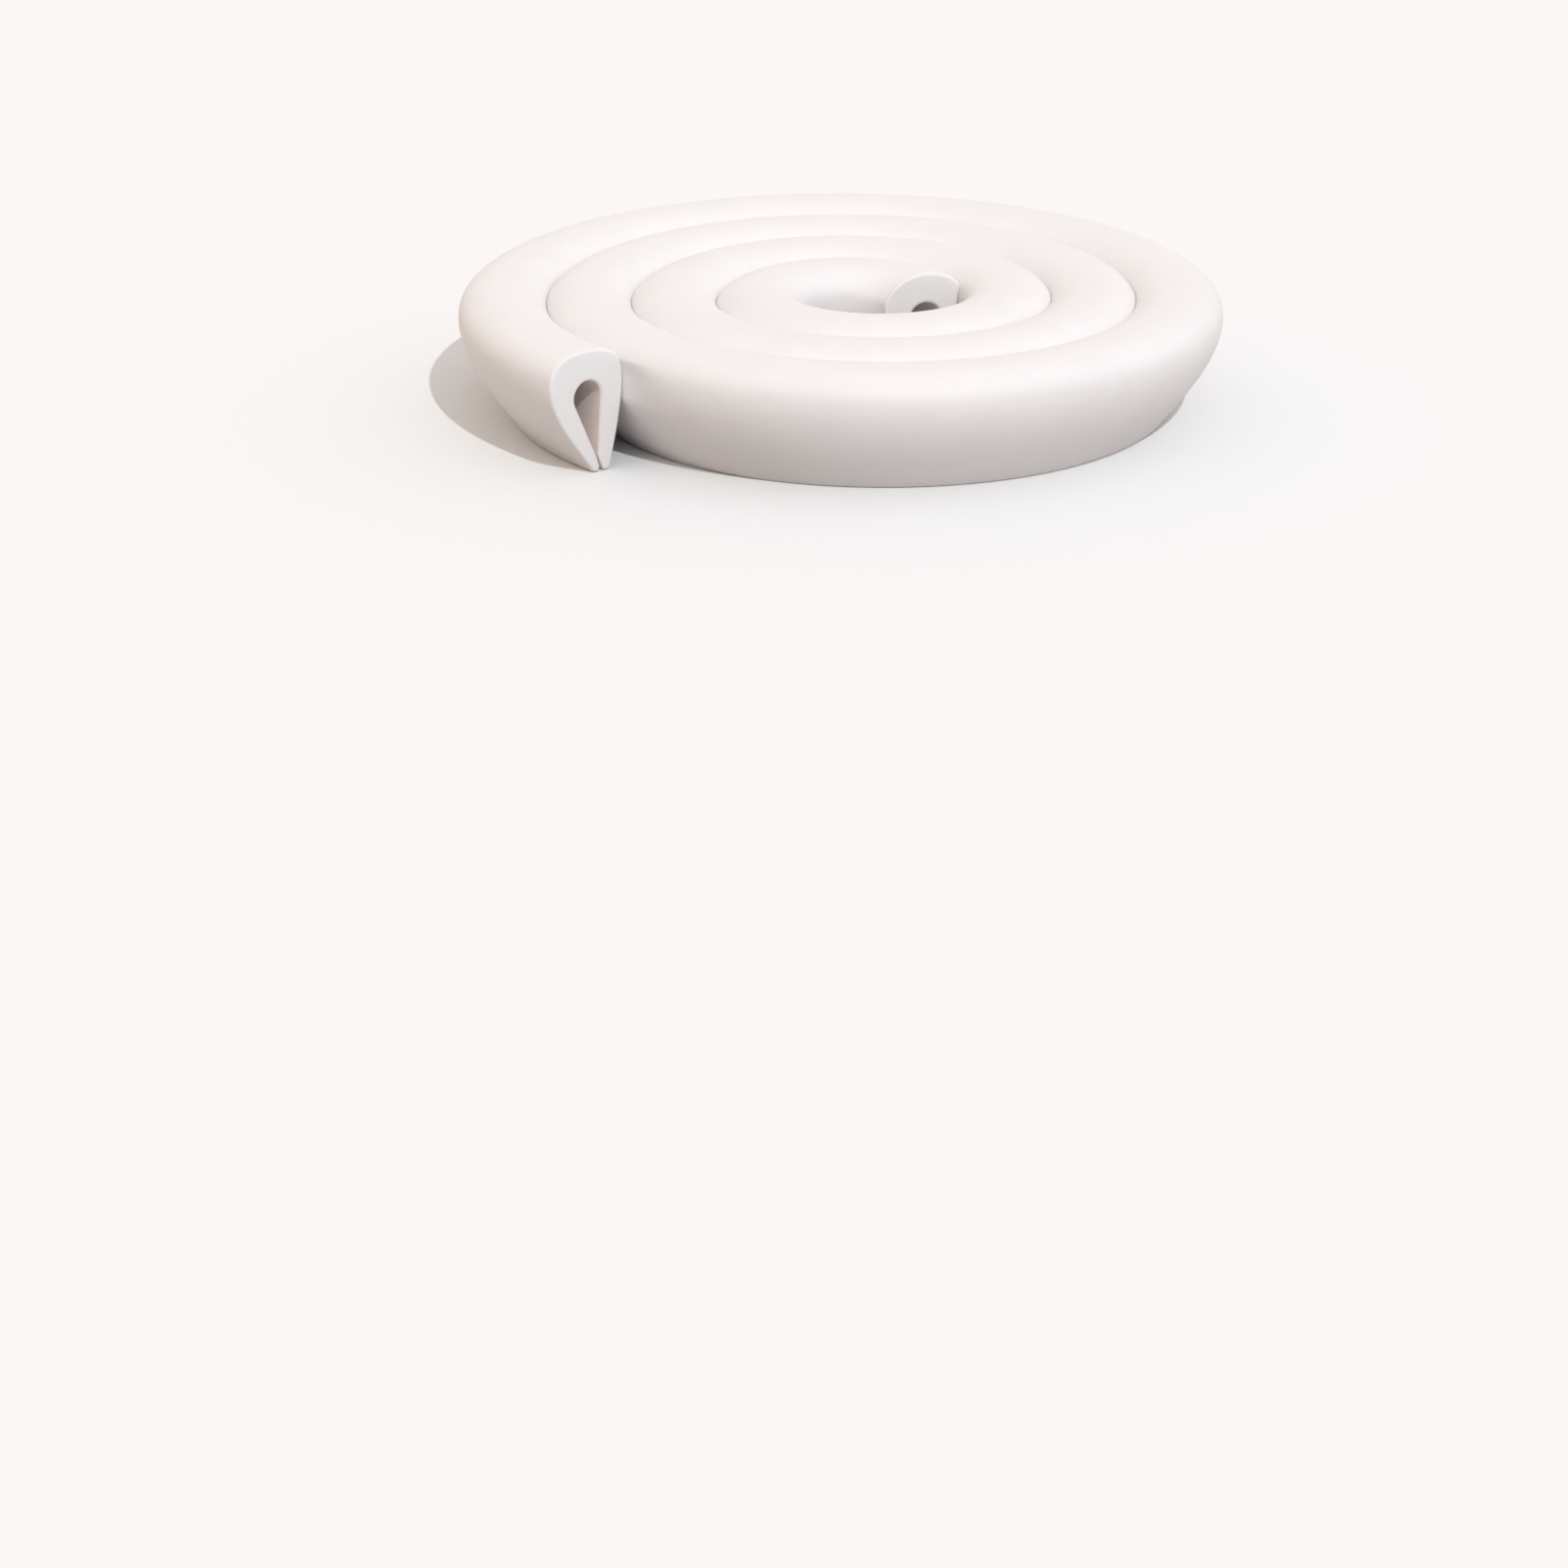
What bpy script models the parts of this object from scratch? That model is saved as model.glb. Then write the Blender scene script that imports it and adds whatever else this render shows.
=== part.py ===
"""Foam edge protector strip, wound into a flat coil with its slot facing down.

One extruded length of soft closed-cell foam. Its section is a U whose legs the winding has pinched
together, so the slot is drop-shaped: round under the crown, pinched to a leaning slit at its foot.
The coil's centre line is the involute of a circle, which keeps every turn at the same distance from
the next one. The outer cut end faces -Y. Metres, +Z up, origin under the middle of the coil.
"""

import math

import bmesh
import bpy
from mathutils import Vector

# Driving dimensions of the strip
STRIP_LENGTH = 2.0
SLOT_WIDTH = 0.0136
SLOT_DEPTH = 0.0395
CROWN_WALL = 0.012
OUTER_WALL = 0.0115
INNER_WALL = 0.0094
CROWN_RISE = 0.017
CROWN_FULLNESS = 2.6
KNEE_DROP = 0.0075
PINCH_OFFSET = -0.006
PINCH_HEIGHT = 0.007
SLIT_GAP = 0.0009
SLIT_LEAN = math.radians(20)
TIP_RADIUS = 0.0018
TIP_FLAT = 0.0007
RIM_RADIUS = 0.001

# Driving dimensions of the winding
TURN_GAP = 0.00035
EYE_RADIUS = 0.01025

# How finely the curves are divided
STATIONS_PER_TURN = 36
SHORTEST_STEP = 0.75
CROWN_STEPS = 10
SLOT_STEPS = 8
KNEE_STEPS = 2
TIP_STEPS = 2
RIM_STEPS = 2

ROUND_PROFILE = 0.5
SHARP_EDGE = math.radians(35)
FOAM_COLOUR = (0.88, 0.855, 0.84, 1.0)
FOAM_ROUGHNESS = 0.62


def section_width():
    return OUTER_WALL + SLOT_WIDTH + INNER_WALL


def section_height():
    return SLOT_DEPTH + CROWN_WALL


def on_circle(centre, radius, angle):
    """Point of a circle in the section's plane. Angles run from outward (0) to up (90 degrees)."""
    return Vector((centre.x + radius * math.cos(angle), centre.y + radius * math.sin(angle)))


def arc(centre, radius, start, end, steps):
    """Points along an arc, both ends included."""
    return [on_circle(centre, radius, start + (end - start) * k / steps) for k in range(steps + 1)]


def touch_angle(centre, radius, point, side):
    """Angle on the circle where the tangent line from an outside point touches it.

    side is +1 or -1: which way round from the direction of the point.
    """
    away = point - centre
    return math.atan2(away.y, away.x) + side * math.acos(radius / away.length)


def turned_near(angle, reference):
    """The same direction, given within half a turn of a reference angle."""
    return reference + math.remainder(angle - reference, math.tau)


def fuller(value):
    """A sine or cosine drawn out towards 1, which turns an ellipse into a fuller arch."""
    return math.copysign(abs(value) ** (2 / CROWN_FULLNESS), value)


def crown(half_width, widest_height):
    """Points over the crown, from its outer side to its inner side: a rounded, rather full arch."""
    points = []
    for k in range(CROWN_STEPS + 1):
        angle = math.pi * k / CROWN_STEPS
        across = half_width * fuller(math.cos(angle))
        height = widest_height + CROWN_RISE * fuller(math.sin(angle))
        points.append(Vector((across, height)))
    return points


def knee(side, half_width, widest_height, flank_angle):
    """Points of the bend between a vertical side and the flank that slants in below it.

    The bend is the arc that touches both. It starts at the widest line and ends on the flank.
    """
    radius = KNEE_DROP / math.tan(flank_angle / 2)
    centre = Vector((side * (half_width - radius), widest_height))
    bend = arc(centre, radius, 0.0, -flank_angle, KNEE_STEPS)
    return [Vector((centre.x + side * (point.x - centre.x), point.y)) for point in bend[1:]]


def leg(side, half_width, widest_height):
    """Points down the outside of one leg, round its tip and up to where the slit opens into the slot.

    side is +1 for the leg on the outside of the coil and -1 for the leg on the inside.
    """
    pinch = Vector((PINCH_OFFSET + side * SLIT_GAP / 2, PINCH_HEIGHT))
    corner = Vector((side * half_width, widest_height - KNEE_DROP))

    # Both bends of the tip stand on the floor, and the one at the slit touches the slit's leaning wall
    foot = pinch.x - (PINCH_HEIGHT - TIP_RADIUS) * math.tan(SLIT_LEAN)
    slit_bend = Vector((foot + side * TIP_RADIUS / math.cos(SLIT_LEAN), TIP_RADIUS))
    flank_bend = slit_bend + Vector((side * TIP_FLAT, 0.0))

    # The flank touches the outer bend of the tip and points at the corner under the widest line
    seen = Vector((side * flank_bend.x, flank_bend.y))
    touch = touch_angle(seen, TIP_RADIUS, Vector((side * corner.x, corner.y)), -1)

    down = knee(side, half_width, widest_height, -touch)
    round_flank = arc(Vector((0.0, 0.0)), TIP_RADIUS, touch, -math.pi / 2, TIP_STEPS)
    round_slit = arc(Vector((0.0, 0.0)), TIP_RADIUS, -math.pi / 2, -math.pi - side * SLIT_LEAN, TIP_STEPS)
    down += [flank_bend + Vector((side * point.x, point.y)) for point in round_flank]
    down += [slit_bend + Vector((side * point.x, point.y)) for point in round_slit]
    down.append(pinch)
    return down


def slot_head(outer_pinch, inner_pinch):
    """Points round the head of the slot, from the outer leg's side to the inner leg's side."""
    radius = SLOT_WIDTH / 2
    centre = Vector(((INNER_WALL - OUTER_WALL) / 2, SLOT_DEPTH - radius))
    start = turned_near(touch_angle(centre, radius, outer_pinch, +1), 0.0)
    end = turned_near(touch_angle(centre, radius, inner_pinch, -1), math.pi)
    return arc(centre, radius, start, end, SLOT_STEPS)


def section():
    """Outline of the foam, counter-clockwise. x is the way out from the coil's centre, y is up."""
    half_width = section_width() / 2
    widest_height = section_height() - CROWN_RISE
    outer_leg = leg(+1, half_width, widest_height)
    inner_leg = leg(-1, half_width, widest_height)
    slot = slot_head(outer_leg[-1], inner_leg[-1])
    return crown(half_width, widest_height) + inner_leg + slot[::-1] + outer_leg[::-1]


def winding():
    """Stations of the coil from the outer cut end to the inner one: (centre, way out).

    They lie at equal turns of the strip, so that the facets of neighbouring turns are parallel.
    """
    base_radius = (section_width() + TURN_GAP) / math.tau
    inner_angle = (EYE_RADIUS + section_width() / 2) / base_radius
    outer_angle = math.sqrt(inner_angle**2 + 2 * STRIP_LENGTH / base_radius)
    step = math.tau / STATIONS_PER_TURN

    angles = []
    angle = outer_angle
    while angle > inner_angle + SHORTEST_STEP * step:
        angles.append(angle)
        angle -= step
    angles.append(inner_angle)

    stations = []
    for angle in angles:
        heading = angle - outer_angle - math.pi / 2
        along = Vector((math.cos(heading), math.sin(heading), 0.0))
        out = Vector((math.sin(heading), -math.cos(heading), 0.0))
        stations.append((base_radius * (along + angle * out), out))
    return stations


def wound_strip(outline, stations):
    """Mesh of the section swept through the stations, with a flat cut face at each end."""
    mesh = bmesh.new()
    rings = []
    for centre, out in stations:
        ring = [mesh.verts.new(centre + point.x * out + Vector((0.0, 0.0, point.y))) for point in outline]
        rings.append(ring)

    count = len(outline)
    for ring, following in zip(rings, rings[1:]):
        for k in range(count):
            after = (k + 1) % count
            mesh.faces.new((ring[k], ring[after], following[after], following[k]))

    cut_faces = [mesh.faces.new(rings[0][::-1]), mesh.faces.new(rings[-1])]
    rims = [edge for face in cut_faces for edge in face.edges]
    bmesh.ops.bevel(
        mesh,
        geom=rims,
        affect="EDGES",
        offset=RIM_RADIUS,
        offset_type="OFFSET",
        segments=RIM_STEPS,
        profile=ROUND_PROFILE,
    )
    return mesh


def centre_over_origin(mesh):
    """Moves the coil so that the middle of its footprint is over the origin."""
    middle = Vector((0.0, 0.0, 0.0))
    for axis in (0, 1):
        values = [vertex.co[axis] for vertex in mesh.verts]
        middle[axis] = (min(values) + max(values)) / 2
    bmesh.ops.translate(mesh, verts=mesh.verts, vec=-middle)


def foam():
    """White foam with a matt skin."""
    material = bpy.data.materials.new("white_foam")
    material.use_nodes = True
    shader = material.node_tree.nodes["Principled BSDF"]
    shader.inputs["Base Color"].default_value = FOAM_COLOUR
    shader.inputs["Roughness"].default_value = FOAM_ROUGHNESS
    shader.inputs["Metallic"].default_value = 0.0
    material.diffuse_color = FOAM_COLOUR
    return material


def clear_scene():
    for existing in list(bpy.data.objects):
        bpy.data.objects.remove(existing, do_unlink=True)


def main():
    clear_scene()
    built = wound_strip(section(), winding())
    centre_over_origin(built)
    bmesh.ops.recalc_face_normals(built, faces=built.faces)

    data = bpy.data.meshes.new("foam_strip")
    built.to_mesh(data)
    built.free()
    data.shade_smooth()
    data.set_sharp_from_angle(angle=SHARP_EDGE)
    data.materials.append(foam())
    strip = bpy.data.objects.new("foam_strip", data)
    bpy.context.scene.collection.objects.link(strip)


main()
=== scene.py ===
"""White foam edge protector strip, wound into a flat coil on a pale studio floor.

The strip is one soft piece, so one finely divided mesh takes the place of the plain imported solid.
It follows the same section and the same winding, and adds what soft foam does in a coil: turns press
flat against each other, the free sides swell a little, and the cut ends have rounded rims.
Metres, +Z up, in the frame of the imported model.
"""

import math
from collections import namedtuple

import bpy
import numpy as np
from mathutils import Matrix, Vector, noise


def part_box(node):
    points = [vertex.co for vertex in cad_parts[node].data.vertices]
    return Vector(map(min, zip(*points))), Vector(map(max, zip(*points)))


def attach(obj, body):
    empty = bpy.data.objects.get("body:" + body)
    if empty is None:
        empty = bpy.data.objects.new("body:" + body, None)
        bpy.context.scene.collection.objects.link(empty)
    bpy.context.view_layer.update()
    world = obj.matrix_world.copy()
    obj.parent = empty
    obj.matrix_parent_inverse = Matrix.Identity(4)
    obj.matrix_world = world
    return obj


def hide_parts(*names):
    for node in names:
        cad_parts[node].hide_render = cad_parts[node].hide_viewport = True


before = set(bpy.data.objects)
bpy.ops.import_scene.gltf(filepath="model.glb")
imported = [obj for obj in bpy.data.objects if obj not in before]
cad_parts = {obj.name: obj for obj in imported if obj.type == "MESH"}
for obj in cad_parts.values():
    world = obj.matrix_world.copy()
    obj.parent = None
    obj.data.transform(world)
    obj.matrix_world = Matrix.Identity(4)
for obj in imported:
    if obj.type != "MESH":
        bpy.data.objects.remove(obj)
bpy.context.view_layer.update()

NODE = "foam_strip"

# Numbers of the materials on the strip
SKIN, SHADED_LINING, CUT_FACE = 0, 1, 2

# Winding of the coil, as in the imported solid
STRIP_LENGTH = 2.0
PACKED_WIDTH = 0.0345
TURN_GAP = 0.00035
EYE_RADIUS = 0.01025

# Free section of the strip, before its turns press on each other
SLOT_WIDTH = 0.0134
SLOT_DEPTH = 0.0386
CROWN_WALL = 0.0129
OUTER_WALL = 0.0125
INNER_WALL = 0.0113
CROWN_RISE = 0.0125
CROWN_FULLNESS = 2.4
PINCH_OFFSET = -0.0056
PINCH_HEIGHT = 0.0068
PINCH_ROUNDING = 0.0014
SLIT_GAP = 0.0009
SLIT_LEAN = math.radians(20)

# The two legs. knee_share is the part of the flank, from its corner down to the tip, that is curved
Leg = namedtuple("Leg", "side knee_drop knee_share tip_radius tip_flat")
OUTER_LEG = Leg(side=+1, knee_drop=0.0103, knee_share=0.55, tip_radius=0.0019, tip_flat=0.0003)
INNER_LEG = Leg(side=-1, knee_drop=0.0137, knee_share=1.0, tip_radius=0.0018, tip_flat=0.0005)

# Where neighbouring turns press on each other, and how soon each side is free past the end of the other
CONTACT_GAP = 0.00002
CONTACT_SOFTNESS = 0.0003
OUTER_RELEASE = 0.024
INNER_RELEASE = 0.008
INNER_RELEASE_LEAD = 0.004

# How far the stiff cut ends push the turn beside them, below the crown
OUTER_PUSH = 0.0018
INNER_PUSH = 0.002
PUSH_REACH = 0.035
PUSH_TO = 0.038
PUSH_BLEND = 0.009

# The outer end leans inwards. The tight bend at the inner end shifts the section outwards
# and makes its crown rounder
OUTER_BEND_REACH = 0.06
OUTER_SHIFT = 0.0007
INNER_BEND_REACH = 0.045
INNER_SHIFT = 0.0032
CROWN_NARROWING = 0.08
ROUND_FULLNESS = 2.0

# Share of the crown's rise up to which its width is compared with a rounder crown's: both end in a point
TOP_OF_ARCH = 0.999

# Cut ends and the soft waves of hand-wound foam
RIM_RADIUS = 0.0013
FACE_MARGIN = 0.0004
WAVE_HEIGHT = 0.00012
WAVE_LENGTH = 0.04
WAVE_FROM = 0.0036
WAVE_BLEND = 0.012

# How finely the curves are divided
STATIONS_PER_TURN = 150
CROWN_STEPS = 44
KNEE_STEPS = 12
FLANK_STEPS = 5
TIP_STEPS = 6
PINCH_STEPS = 4
WALL_STEPS = 5
SLOT_STEPS = 22
RIM_STEPS = 5

# Camera, measured from the middle of the winding, with its lens and sensor in millimetres
CAMERA_PLACE = (-0.0310, -2.5823, 0.7685)
CAMERA_HEADING = math.radians(-40.85)
CAMERA_DOWN = math.radians(19.936)
CAMERA_ROLL = math.radians(0.414)
CAMERA_LENS = 149.07
CAMERA_SENSOR = 36.0

# Key light, seen from the camera's heading
KEY_SIDE = math.radians(20.0)
KEY_HEIGHT = math.radians(44.0)
KEY_STRENGTH = 1.45
KEY_ANGLE = math.radians(1.0)

# Studio dome, brightest overhead, and the light of each side as the camera sees it
OVERHEAD = (0.755, 0.735, 0.768)
FROM_RIGHT = (0.86, 0.85, 0.83)
FROM_LEFT = (0.82, 0.57, 0.27)
FROM_FRONT = (0.22, 0.21, 0.235)
FROM_BACK = (0.99, 0.79, 0.64)
BACKDROP = (0.955, 0.935, 0.92, 1.0)

# Floor, as it is seen and as it lights the coil, and where it fades into the backdrop
FLOOR_SEEN = (0.894, 0.915, 0.92, 1.0)
FLOOR_BOUNCE = (0.55, 0.53, 0.52, 1.0)
FLOOR_SIZE = 40.0
FLOOR_DROP = 0.0001
FLOOR_FADE_FROM = 1.4
FLOOR_FADE_TO = 4.0

# Foam. Each tone is mottled between a light and a dark colour, with the mottle in features per metre
SKIN_LIGHT = (0.872, 0.856, 0.856, 1.0)
SKIN_DARK = (0.852, 0.836, 0.836, 1.0)
SKIN_ROUGHNESS = (0.50, 0.60)
SKIN_MOTTLE = 55.0
# The slot's lining is coloured darker and warmer than the skin: painted shade inside the slot's recess
LINING_PAINTED_SHADE_LIGHT = (0.865, 0.795, 0.770, 1.0)
LINING_PAINTED_SHADE_DARK = (0.835, 0.765, 0.740, 1.0)
LINING_ROUGHNESS = (0.75, 0.85)
LINING_MOTTLE = 300.0
CUT_LIGHT = (0.868, 0.864, 0.870, 1.0)
CUT_DARK = (0.836, 0.832, 0.838, 1.0)
CUT_ROUGHNESS = (0.78, 0.88)
CUT_MOTTLE = 1300.0
MOTTLE_DETAIL = 3.0

# Light goes a little way into the foam and comes out softened
SUBSURFACE_WEIGHT = 0.12
SUBSURFACE_RADIUS = (1.0, 0.85, 0.75)
SUBSURFACE_SCALE = 0.0015
SPECULAR_LEVEL = 0.35

# The range that most of a noise texture's values lie in
NOISE_LOW = 0.3
NOISE_HIGH = 0.7

# A layer of bump: features per metre, levels of detail, height in metres, share of it that shows
Bump = namedtuple("Bump", "scale detail distance strength")


def on_circle(centre, radius, angle):
    """Point of a circle in the section's plane. Angles run from outward (0) to up (90 degrees)."""
    return Vector((centre.x + radius * math.cos(angle), centre.y + radius * math.sin(angle)))


def arc(centre, radius, start, end, steps):
    """Points along an arc, both ends included."""
    return [on_circle(centre, radius, start + (end - start) * k / steps) for k in range(steps + 1)]


def between(start, end, steps):
    """Points that divide a straight line, without its ends."""
    return [start.lerp(end, k / steps) for k in range(1, steps)]


def curve(start, guide, end, steps):
    """Points of a smooth curve that leaves its start towards the guide and reaches its end from there."""
    shares = [k / steps for k in range(steps + 1)]
    return [start.lerp(guide, share).lerp(guide.lerp(end, share), share) for share in shares]


def touch_angle(centre, radius, point, side):
    """Angle on the circle where the tangent line from an outside point touches it.

    side is +1 or -1: which way round from the direction of the point.
    """
    away = point - centre
    return math.atan2(away.y, away.x) + side * math.acos(radius / away.length)


def turned_near(angle, reference):
    """The same direction, given within half a turn of a reference angle."""
    return reference + math.remainder(angle - reference, math.tau)


def smooth_step(value):
    """0 below 0, 1 above 1, and a smooth slope between them, for a number or an array."""
    share = np.clip(value, 0.0, 1.0)
    return share * share * (3 - 2 * share)


def section_width():
    return OUTER_WALL + SLOT_WIDTH + INNER_WALL


def section_height():
    return SLOT_DEPTH + CROWN_WALL


def fuller(value):
    """A sine or cosine drawn out towards 1, which turns an ellipse into a fuller arch."""
    return math.copysign(abs(value) ** (2 / CROWN_FULLNESS), value)


def arch_width(rise, fullness):
    """Half width of an arch at a share of its rise, where the foot of the arch is 1 wide."""
    return (1 - rise**fullness) ** (1 / fullness)


def crown(half_width, widest_height):
    """Points over the crown, from its outer side to its inner side."""
    points = []
    for k in range(CROWN_STEPS + 1):
        angle = math.pi * k / CROWN_STEPS
        across = half_width * fuller(math.cos(angle))
        height = widest_height + CROWN_RISE * fuller(math.sin(angle))
        points.append(Vector((across, height)))
    return points


def rounded(before, corner, after):
    """Points of a soft bend in place of a sharp corner."""
    start = corner + PINCH_ROUNDING * (before - corner).normalized()
    end = corner + PINCH_ROUNDING * (after - corner).normalized()
    return curve(start, corner, end, PINCH_STEPS)


def pinch_point(shape):
    """Where the slit opens into the slot, on one leg."""
    return Vector((PINCH_OFFSET + shape.side * SLIT_GAP / 2, PINCH_HEIGHT))


def leg(shape, half_width, widest_height):
    """Points down the outside of one leg, round its tip and up to the foot of the slit's wall.

    They are worked out as for a leg on the +x side, and mirrored at the end for the other one.
    """
    side, radius = shape.side, shape.tip_radius
    widest = Vector((half_width, widest_height))
    corner = widest - Vector((0.0, shape.knee_drop))

    # Both bends of the tip stand on the floor, and the one at the slit touches the slit's leaning wall
    foot = pinch_point(shape).x - (PINCH_HEIGHT - radius) * math.tan(SLIT_LEAN)
    slit_bend = Vector((side * foot + radius / math.cos(SLIT_LEAN), radius))
    flank_bend = slit_bend + Vector((shape.tip_flat, 0.0))
    touch = touch_angle(flank_bend, radius, corner, -1)
    tip = arc(flank_bend, radius, touch, -math.pi / 2, TIP_STEPS)
    heel = arc(slit_bend, radius, -math.pi / 2, -math.pi - side * SLIT_LEAN, TIP_STEPS)

    # The flank curves in from the widest line, guided by the corner, and runs on straight to the tip
    knee_end = corner.lerp(tip[0], shape.knee_share)
    knee = curve(widest, corner, knee_end, KNEE_STEPS)[1:-1]
    straight = [knee_end] + between(knee_end, tip[0], FLANK_STEPS) if shape.knee_share < 1.0 else []
    return [Vector((side * point.x, point.y)) for point in knee + straight + tip + heel]


def slot(outer_foot, inner_foot):
    """Points up one wall of the slit and the slot, round the slot's head and down the other wall."""
    outer_pinch, inner_pinch = pinch_point(OUTER_LEG), pinch_point(INNER_LEG)
    radius = SLOT_WIDTH / 2
    centre = Vector(((INNER_WALL - OUTER_WALL) / 2, SLOT_DEPTH - radius))
    start = turned_near(touch_angle(centre, radius, outer_pinch, +1), 0.0)
    end = turned_near(touch_angle(centre, radius, inner_pinch, -1), math.pi)
    head = arc(centre, radius, start, end, SLOT_STEPS)
    outer_bend = rounded(outer_foot, outer_pinch, head[0])
    inner_bend = rounded(head[-1], inner_pinch, inner_foot)
    outer_wall = between(outer_bend[-1], head[0], WALL_STEPS)
    inner_wall = between(head[-1], inner_bend[0], WALL_STEPS)
    return outer_bend + outer_wall + head + inner_wall + inner_bend


def section():
    """Free outline of the foam, counter-clockwise, as rows of (way out, up), and which rows line the slot."""
    half_width = section_width() / 2
    widest_height = section_height() - CROWN_RISE
    outer_leg = leg(OUTER_LEG, half_width, widest_height)
    inner_leg = leg(INNER_LEG, half_width, widest_height)
    middle = slot(outer_leg[-1], inner_leg[-1])
    over = crown(half_width, widest_height) + inner_leg
    points = over + middle[::-1] + outer_leg[::-1]
    slot_rows = range(len(over) + PINCH_STEPS, len(over) + len(middle) - PINCH_STEPS)
    return np.array([tuple(point) for point in points]), slot_rows


def outward(points):
    """Mitred normals of a closed counter-clockwise outline."""
    edges = np.roll(points, -1, axis=0) - points
    edges /= np.linalg.norm(edges, axis=1)[:, None]
    normals = np.column_stack((edges[:, 1], -edges[:, 0]))
    both = normals + np.roll(normals, 1, axis=0)
    return 2 * both / (both**2).sum(axis=1)[:, None]


def softly_below(values, limit):
    """Values held under a limit, with a soft bend where they reach it."""
    near = np.clip(CONTACT_SOFTNESS - np.abs(values - limit), 0.0, None) / CONTACT_SOFTNESS
    return np.minimum(values, limit) - near**2 * CONTACT_SOFTNESS / 4


def in_crown(heights):
    """0 at the sides of the section and 1 in its crown, for each height."""
    return smooth_step((heights - PUSH_TO) / PUSH_BLEND)


class Winding:
    """The centre line of the coil: the involute of a circle, by the angle that it has unrolled."""

    def __init__(self):
        self.pitch = PACKED_WIDTH + TURN_GAP
        self.base = self.pitch / math.tau
        self.inner = (EYE_RADIUS + PACKED_WIDTH / 2) / self.base
        self.outer = math.sqrt(self.inner**2 + 2 * STRIP_LENGTH / self.base)

    def placed(self, angle, points):
        """Places in the coil of points (way out, up) of the section."""
        heading = angle - self.outer - math.pi / 2
        along = Vector((math.cos(heading), math.sin(heading), 0.0))
        out = Vector((math.sin(heading), -math.cos(heading), 0.0))
        centre = self.base * (along + angle * out)
        return [centre + out * across + Vector((0.0, 0.0, height)) for across, height in points]

    def further_in(self, angle, distance):
        """The angle a short distance along the strip towards the inner end."""
        return angle - distance / (self.base * angle)

    def near_outer_end(self, angle, reach):
        """1 at the outer cut end and past it, falling to 0 over a length of the strip."""
        return smooth_step(1 - self.base * (self.outer**2 - angle**2) / 2 / reach)

    def near_inner_end(self, angle, reach):
        """1 at the inner cut end and past it, falling to 0 over a length of the strip."""
        return smooth_step(1 - self.base * (angle**2 - self.inner**2) / 2 / reach)

    def stations(self):
        """Rings from the outer cut end to the inner one: (angle, inset of the outline)."""
        rims = []
        for k in range(RIM_STEPS + 1):
            turn = math.pi / 2 * k / RIM_STEPS
            rims.append((RIM_RADIUS * (1 - math.sin(turn)), RIM_RADIUS * (1 - math.cos(turn))))

        outer_rim = [(self.further_in(self.outer, depth), inset) for depth, inset in reversed(rims)]
        inner_rim = [(self.further_in(self.inner, -depth), inset) for depth, inset in rims]
        first, last = outer_rim[-1][0], inner_rim[0][0]
        steps = round((first - last) / math.tau * STATIONS_PER_TURN)
        body = [(first + (last - first) * k / steps, 0.0) for k in range(1, steps)]

        flat = RIM_RADIUS + FACE_MARGIN
        return [(self.outer, flat)] + outer_rim + body + inner_rim + [(self.inner, flat)]

    def freedom(self, angle):
        """How free the outer side and the inner side are of a neighbouring turn, from 0 to 1."""
        past_outer_end = self.base * angle * (angle - (self.outer - math.tau))
        past_inner_end = self.base * angle * (self.inner + math.tau - angle) + INNER_RELEASE_LEAD
        return smooth_step(past_outer_end / OUTER_RELEASE), smooth_step(past_inner_end / INNER_RELEASE)

    def contact(self, angle):
        """How far inwards the contact with the turn inside has moved from halfway between the two."""
        pushed_in = OUTER_PUSH * self.near_outer_end(angle, PUSH_REACH)
        pushed_out = INNER_PUSH * self.near_inner_end(angle - math.tau, PUSH_REACH)
        return pushed_in - pushed_out

    def room(self, angle, heights):
        """How far the section may reach outwards and inwards at each height, before it meets a turn."""
        half = self.pitch / 2 - CONTACT_GAP
        pushed = 1 - in_crown(heights)
        return half - pushed * self.contact(angle + math.tau), half + pushed * self.contact(angle)


def waved(points, ways, winding, angle):
    """The outline with the slow waves of hand-wound foam, which leave its tips on the floor."""
    waves = np.array([noise.noise(place / WAVE_LENGTH) for place in winding.placed(angle, points)])
    shares = smooth_step((points[:, 1] - WAVE_FROM) / WAVE_BLEND)
    return points + (WAVE_HEIGHT * shares * waves)[:, None] * ways


def bent(points, winding, angle):
    """The outline as the lean of the outer end and the tight bend of the inner end leave it."""
    across = points[:, 0] - OUTER_SHIFT * winding.near_outer_end(angle, OUTER_BEND_REACH)
    height = points[:, 1]
    share = winding.near_inner_end(angle, INNER_BEND_REACH)

    # Over the crown, the full arch gives way to a rounder and narrower one
    foot = section_height() - CROWN_RISE
    rise = np.clip((height - foot) / CROWN_RISE, 0.0, TOP_OF_ARCH)
    rounder = arch_width(rise, ROUND_FULLNESS) / arch_width(rise, CROWN_FULLNESS)
    narrowed = rounder * (1 - CROWN_NARROWING * in_crown(height))
    across = across * (1 + share * (narrowed - 1)) + share * INNER_SHIFT
    return np.column_stack((across, height))


def pressed(points, winding, angle):
    """The outline as its neighbours leave it at one station."""
    outer_free, inner_free = winding.freedom(angle)
    outer_room, inner_room = winding.room(angle, points[:, 1])
    across = points[:, 0]
    outer = outer_free * across + (1 - outer_free) * softly_below(across, outer_room)
    inner = -(inner_free * -across + (1 - inner_free) * softly_below(-across, inner_room))
    held = np.where(across > 0, outer, inner)
    return np.column_stack((held, points[:, 1]))


def strip_places(winding, rings, outline):
    """Places of all points of the strip, ring by ring from the outer cut end to the inner one."""
    ways = outward(outline)
    places = []
    for angle, inset in rings:
        soft = bent(waved(outline - inset * ways, ways, winding, angle), winding, angle)
        places += winding.placed(angle, pressed(soft, winding, angle))
    return places


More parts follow.
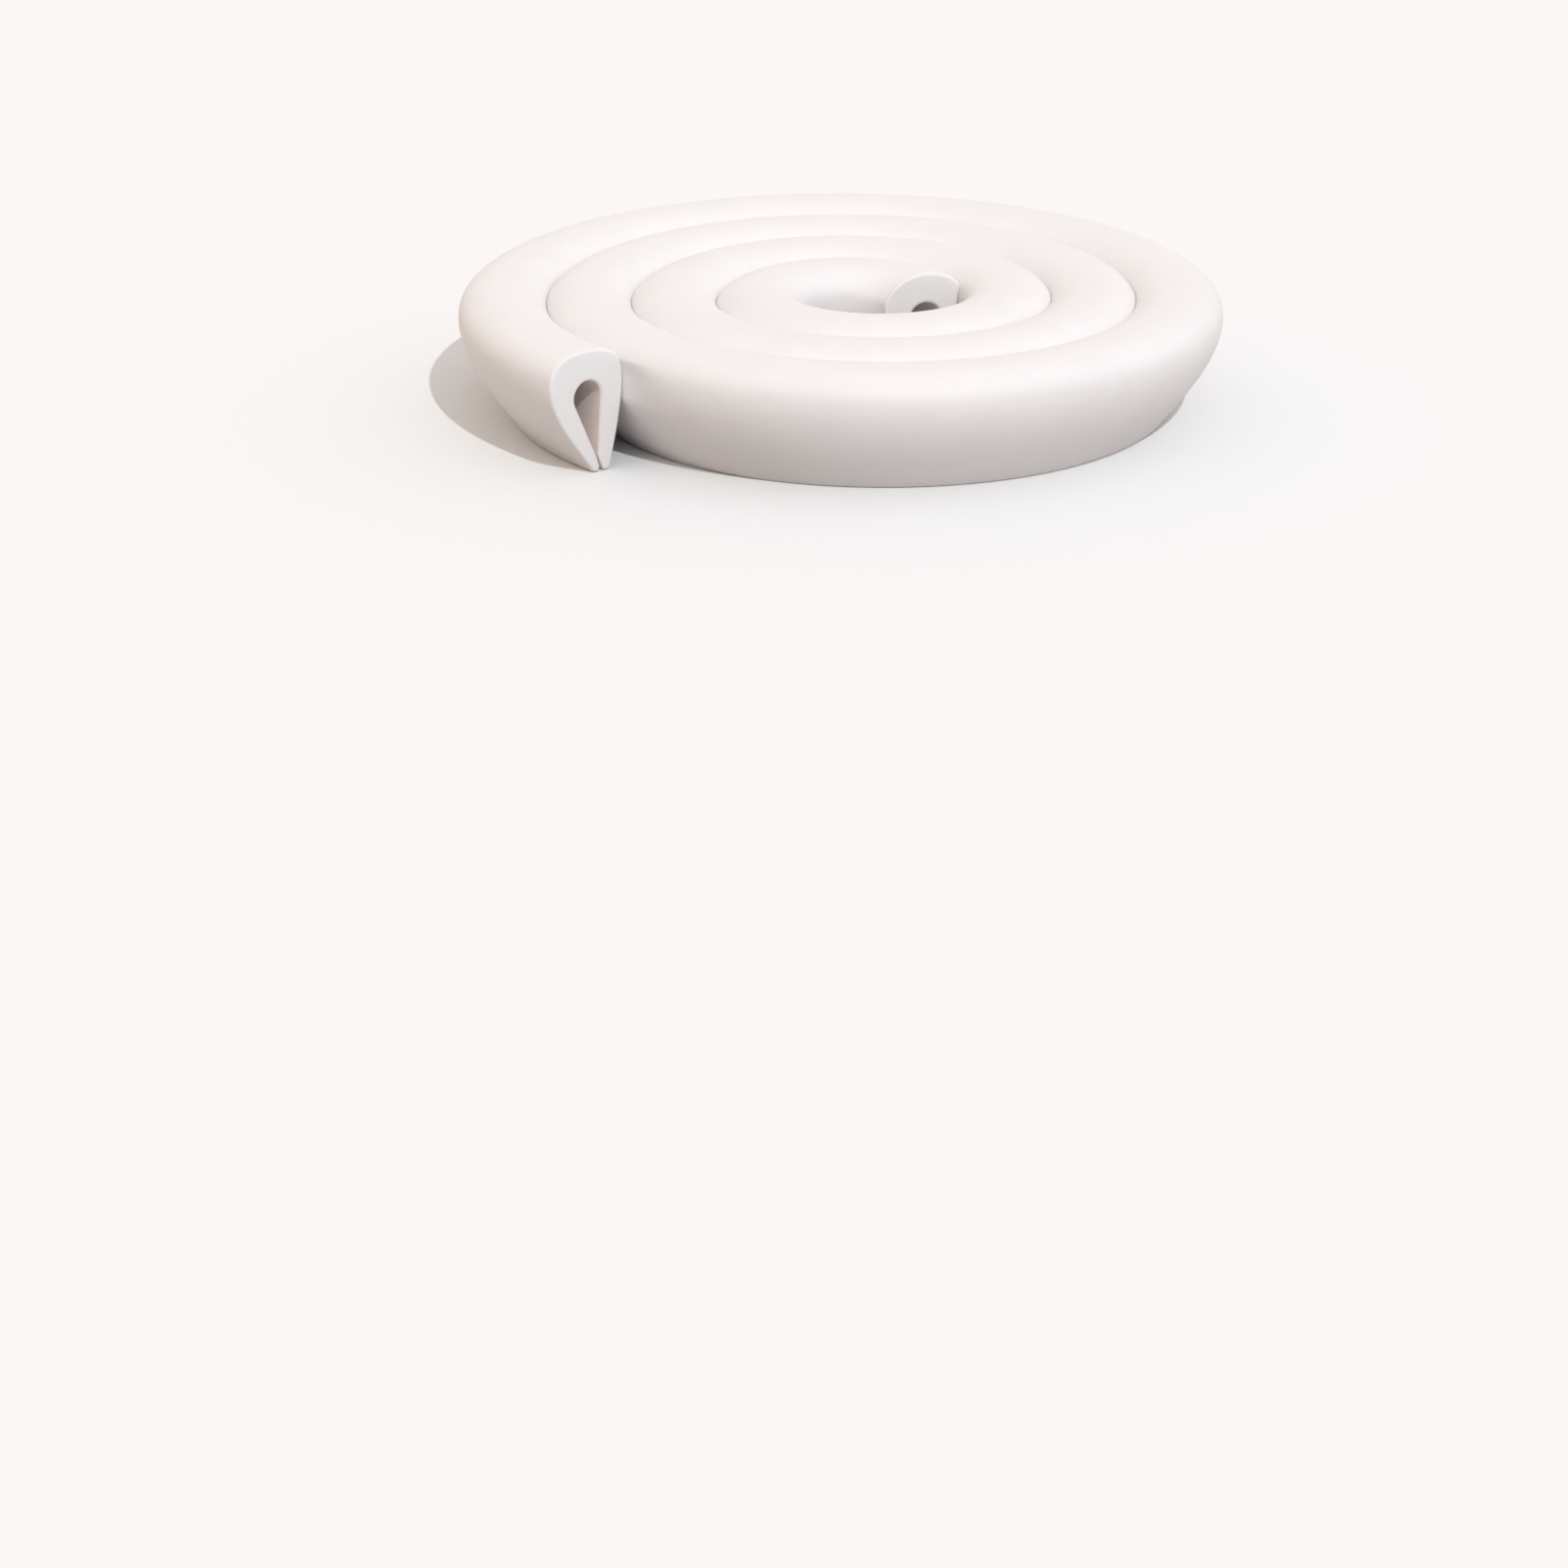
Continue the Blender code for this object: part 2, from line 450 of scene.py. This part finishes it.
def strip_faces(ring_count, count, slot_rows):
    """Faces between rings of count points and over both ends, and the material number of each face.

    Only the flat of each cut end is open foam, and its rim keeps the skin.
    """
    faces = []
    materials = []
    for row in range(ring_count - 1):
        here, following = row * count, (row + 1) * count
        for k in range(count):
            after = (k + 1) % count
            faces.append((here + k, here + after, following + after, following + k))
            if row in (0, ring_count - 2):
                materials.append(CUT_FACE)
            # Faces inside the slot take the lining, whose darker colour is painted shade
            elif k in slot_rows and after in slot_rows:
                materials.append(SHADED_LINING)
            else:
                materials.append(SKIN)
    faces.append(tuple(reversed(range(count))))
    faces.append(tuple(range((ring_count - 1) * count, ring_count * count)))
    materials += [CUT_FACE, CUT_FACE]
    return faces, materials


class Nodes:
    """A node tree with short calls for adding and joining nodes.

    Where a call takes a value, that is an output to join, or a plain value to write into the socket.
    """

    def __init__(self, owner):
        owner.use_nodes = True
        self.tree = owner.node_tree
        self.tree.nodes.clear()

    def add(self, kind, **settings):
        node = self.tree.nodes.new(kind)
        for name, value in settings.items():
            setattr(node, name, value)
        return node

    def feed(self, socket, value):
        if isinstance(value, bpy.types.NodeSocket):
            self.tree.links.new(value, socket)
        else:
            socket.default_value = value

    def output(self, kind, surface):
        """Adds the tree's output node and feeds it with a shader."""
        self.feed(self.add(kind).inputs["Surface"], surface)

    def math(self, operation, first, second):
        node = self.add("ShaderNodeMath", operation=operation)
        self.feed(node.inputs[0], first)
        self.feed(node.inputs[1], second)
        return node.outputs["Value"]

    def vector(self, operation, first, second):
        """Outputs of a Vector Math node: Vector and Value."""
        node = self.add("ShaderNodeVectorMath", operation=operation)
        self.feed(node.inputs[0], first)
        self.feed(node.inputs[1], second)
        return node.outputs

    def scaled(self, colour, share):
        node = self.add("ShaderNodeVectorMath", operation="SCALE")
        self.feed(node.inputs[0], colour)
        self.feed(node.inputs["Scale"], share)
        return node.outputs["Vector"]

    def grain(self, place, scale, detail):
        """Noise over the object's own coordinates, with the scale in features per metre."""
        node = self.add("ShaderNodeTexNoise")
        self.feed(node.inputs["Vector"], place)
        self.feed(node.inputs["Scale"], scale)
        self.feed(node.inputs["Detail"], detail)
        return node.outputs["Fac"]

    def spread(self, value, low, high, start=NOISE_LOW, end=NOISE_HIGH):
        """The value's range from start to end, spread out from low to high."""
        node = self.add("ShaderNodeMapRange")
        self.feed(node.inputs["Value"], value)
        self.feed(node.inputs["From Min"], start)
        self.feed(node.inputs["From Max"], end)
        self.feed(node.inputs["To Min"], low)
        self.feed(node.inputs["To Max"], high)
        return node.outputs["Result"]

    def mix(self, share, first, second):
        """A colour between two colours."""
        node = self.add("ShaderNodeMix", data_type="RGBA")
        colours = [socket for socket in node.inputs if socket.type == "RGBA"]
        self.feed(node.inputs["Factor"], share)
        self.feed(colours[0], first)
        self.feed(colours[1], second)
        return next(socket for socket in node.outputs if socket.type == "RGBA")

    def bumped(self, height, bump, below):
        """Normal of a layer of bump over the layer below it, if there is one."""
        node = self.add("ShaderNodeBump")
        self.feed(node.inputs["Height"], height)
        self.feed(node.inputs["Distance"], bump.distance)
        self.feed(node.inputs["Strength"], bump.strength)
        if below is not None:
            self.feed(node.inputs["Normal"], below)
        return node.outputs["Normal"]


def foam_material(name, light, dark, roughness, mottle, bumps):
    """Foam with a mottled tone, a roughness that varies with it, and layers of bump."""
    material = bpy.data.materials.new(name)
    nodes = Nodes(material)
    place = nodes.add("ShaderNodeTexCoord").outputs["Object"]
    tone = nodes.grain(place, mottle, MOTTLE_DETAIL)
    normal = None
    for bump in bumps:
        normal = nodes.bumped(nodes.grain(place, bump.scale, bump.detail), bump, normal)

    shader = nodes.add("ShaderNodeBsdfPrincipled")
    nodes.feed(shader.inputs["Base Color"], nodes.mix(nodes.spread(tone, 0.0, 1.0), dark, light))
    nodes.feed(shader.inputs["Roughness"], nodes.spread(tone, *roughness))
    nodes.feed(shader.inputs["Normal"], normal)
    shader.inputs["Subsurface Weight"].default_value = SUBSURFACE_WEIGHT
    shader.inputs["Subsurface Radius"].default_value = SUBSURFACE_RADIUS
    shader.inputs["Subsurface Scale"].default_value = SUBSURFACE_SCALE
    shader.inputs["Specular IOR Level"].default_value = SPECULAR_LEVEL
    nodes.output("ShaderNodeOutputMaterial", shader.outputs["BSDF"])
    return material


def skin():
    """The smooth closed skin of the strip, with a soft unevenness and a fine grain."""
    uneven = Bump(scale=160.0, detail=2.0, distance=0.00006, strength=0.6)
    grain = Bump(scale=1500.0, detail=2.0, distance=0.00003, strength=0.5)
    return foam_material("foam_skin", SKIN_LIGHT, SKIN_DARK, SKIN_ROUGHNESS, SKIN_MOTTLE, (uneven, grain))


def lining_with_painted_shade():
    """The inside of the slot, a little darker and warmer than the skin: painted shade in the slot's recess,
    over the lining's own rougher grain.
    """
    uneven = Bump(scale=160.0, detail=2.0, distance=0.00006, strength=0.6)
    grain = Bump(scale=1500.0, detail=2.0, distance=0.00005, strength=0.6)
    bumps = (uneven, grain)
    return foam_material("foam_lining_painted_shade", LINING_PAINTED_SHADE_LIGHT, LINING_PAINTED_SHADE_DARK, LINING_ROUGHNESS, LINING_MOTTLE, bumps)


def cut_face():
    """The sawn face, where the fine cells lie open and the skin's gloss is gone."""
    uneven = Bump(scale=420.0, detail=3.0, distance=0.00008, strength=0.5)
    cells = Bump(scale=2200.0, detail=3.0, distance=0.00008, strength=0.8)
    return foam_material("foam_cut", CUT_LIGHT, CUT_DARK, CUT_ROUGHNESS, CUT_MOTTLE, (uneven, cells))


def make_strip():
    """The wound strip. Returns where the middle of its winding lies in the frame."""
    winding = Winding()
    rings = winding.stations()
    outline, slot_rows = section()
    places = strip_places(winding, rings, outline)
    faces, materials = strip_faces(len(rings), len(outline), slot_rows)
    mesh = bpy.data.meshes.new("foam_coil")
    mesh.from_pydata(places, [], faces)
    for make_material in (skin, lining_with_painted_shade, cut_face):
        mesh.materials.append(make_material())
    mesh.polygons.foreach_set("material_index", materials)
    mesh.shade_smooth()

    # The middle of the footprint goes over the middle of the node that the mesh stands for
    corners = np.array([tuple(place) for place in places])
    made = (corners.min(axis=0) + corners.max(axis=0)) / 2
    low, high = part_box(NODE)
    middle = Vector(((low.x + high.x) / 2 - made[0], (low.y + high.y) / 2 - made[1], low.z))
    mesh.transform(Matrix.Translation(middle))

    strip = bpy.data.objects.new("foam_coil", mesh)
    bpy.context.scene.collection.objects.link(strip)
    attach(strip, "root")
    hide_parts(NODE)
    return middle


def seen_directly(nodes):
    """1 for rays that show the studio itself, and 0 for rays that only carry its light."""
    rays = nodes.add("ShaderNodeLightPath")
    mirrored = nodes.math("MAXIMUM", rays.outputs["Is Glossy Ray"], rays.outputs["Is Transmission Ray"])
    return nodes.math("MAXIMUM", rays.outputs["Is Camera Ray"], mirrored)


def floor_material():
    """A pale matt floor that fades into the backdrop away from the coil."""
    material = bpy.data.materials.new("studio_floor")
    nodes = Nodes(material)
    direct = seen_directly(nodes)
    surface = nodes.add("ShaderNodeBsdfDiffuse")
    nodes.feed(surface.inputs["Color"], nodes.mix(direct, FLOOR_BOUNCE, FLOOR_SEEN))
    glow = nodes.add("ShaderNodeEmission")
    glow.inputs["Color"].default_value = BACKDROP

    place = nodes.add("ShaderNodeTexCoord").outputs["Object"]
    distance = nodes.add("ShaderNodeVectorMath", operation="LENGTH")
    nodes.feed(distance.inputs[0], place)
    faded = nodes.spread(distance.outputs["Value"], 0.0, 1.0, FLOOR_FADE_FROM, FLOOR_FADE_TO)
    both = nodes.add("ShaderNodeMixShader")
    nodes.feed(both.inputs[0], nodes.math("MULTIPLY", faded, direct))
    nodes.feed(both.inputs[1], surface.outputs["BSDF"])
    nodes.feed(both.inputs[2], glow.outputs["Emission"])
    nodes.output("ShaderNodeOutputMaterial", both.outputs["Shader"])
    return material


def make_floor():
    half = FLOOR_SIZE / 2
    corners = [(-half, -half), (half, -half), (half, half), (-half, half)]
    mesh = bpy.data.meshes.new("studio_floor")
    mesh.from_pydata([(x, y, -FLOOR_DROP) for x, y in corners], [], [(0, 1, 2, 3)])
    mesh.materials.append(floor_material())
    floor = bpy.data.objects.new("studio_floor", mesh)
    bpy.context.scene.collection.objects.link(floor)


def make_dome(heading):
    """Soft light that is brightest overhead and has a colour of its own on each side."""
    world = bpy.data.worlds.new("studio_dome")
    bpy.context.scene.world = world
    nodes = Nodes(world)
    way = nodes.add("ShaderNodeTexCoord").outputs["Generated"]

    def towards(direction):
        """How far a ray of light comes from a direction, and 0 where it comes from the other side."""
        return nodes.math("MAXIMUM", nodes.vector("DOT_PRODUCT", way, direction)["Value"], 0.0)

    height = towards(Vector((0.0, 0.0, 1.0)))
    level = nodes.math("SUBTRACT", 1.0, height)
    dome = nodes.scaled(OVERHEAD, height)
    sides = ((FROM_RIGHT, (1, 0)), (FROM_LEFT, (-1, 0)), (FROM_FRONT, (0, -1)), (FROM_BACK, (0, 1)))
    for colour, (x, y) in sides:
        facing = towards(heading @ Vector((x, y, 0.0)))
        light = nodes.scaled(colour, nodes.math("MULTIPLY", level, facing))
        dome = nodes.vector("ADD", dome, light)["Vector"]
    background = nodes.add("ShaderNodeBackground")
    nodes.feed(background.inputs["Color"], nodes.mix(seen_directly(nodes), dome, BACKDROP))
    nodes.output("ShaderNodeOutputWorld", background.outputs["Background"])


def make_key(heading):
    light = bpy.data.lights.new("key", "SUN")
    light.energy = KEY_STRENGTH
    light.angle = KEY_ANGLE
    level = math.cos(KEY_HEIGHT)
    towards = Vector((level * math.sin(KEY_SIDE), -level * math.cos(KEY_SIDE), math.sin(KEY_HEIGHT)))
    key = bpy.data.objects.new("key", light)
    key.rotation_mode = "QUATERNION"
    key.rotation_quaternion = (heading @ towards).to_track_quat("Z", "Y")
    bpy.context.scene.collection.objects.link(key)


def make_camera(middle, heading):
    data = bpy.data.cameras.new("camera")
    data.lens = CAMERA_LENS
    data.sensor_width = CAMERA_SENSOR
    camera = bpy.data.objects.new("camera", data)
    tilt = Matrix.Rotation(math.pi / 2 - CAMERA_DOWN, 3, "X")
    roll = Matrix.Rotation(CAMERA_ROLL, 3, "Z")
    turned = (heading @ tilt @ roll).to_4x4()
    camera.matrix_world = Matrix.Translation(middle + heading @ Vector(CAMERA_PLACE)) @ turned
    bpy.context.scene.collection.objects.link(camera)
    bpy.context.scene.camera = camera


def main():
    middle = make_strip()
    heading = Matrix.Rotation(CAMERA_HEADING, 3, "Z")
    make_floor()
    make_dome(heading)
    make_key(heading)
    make_camera(middle, heading)
    bpy.context.scene.view_settings.view_transform = "Standard"


main()
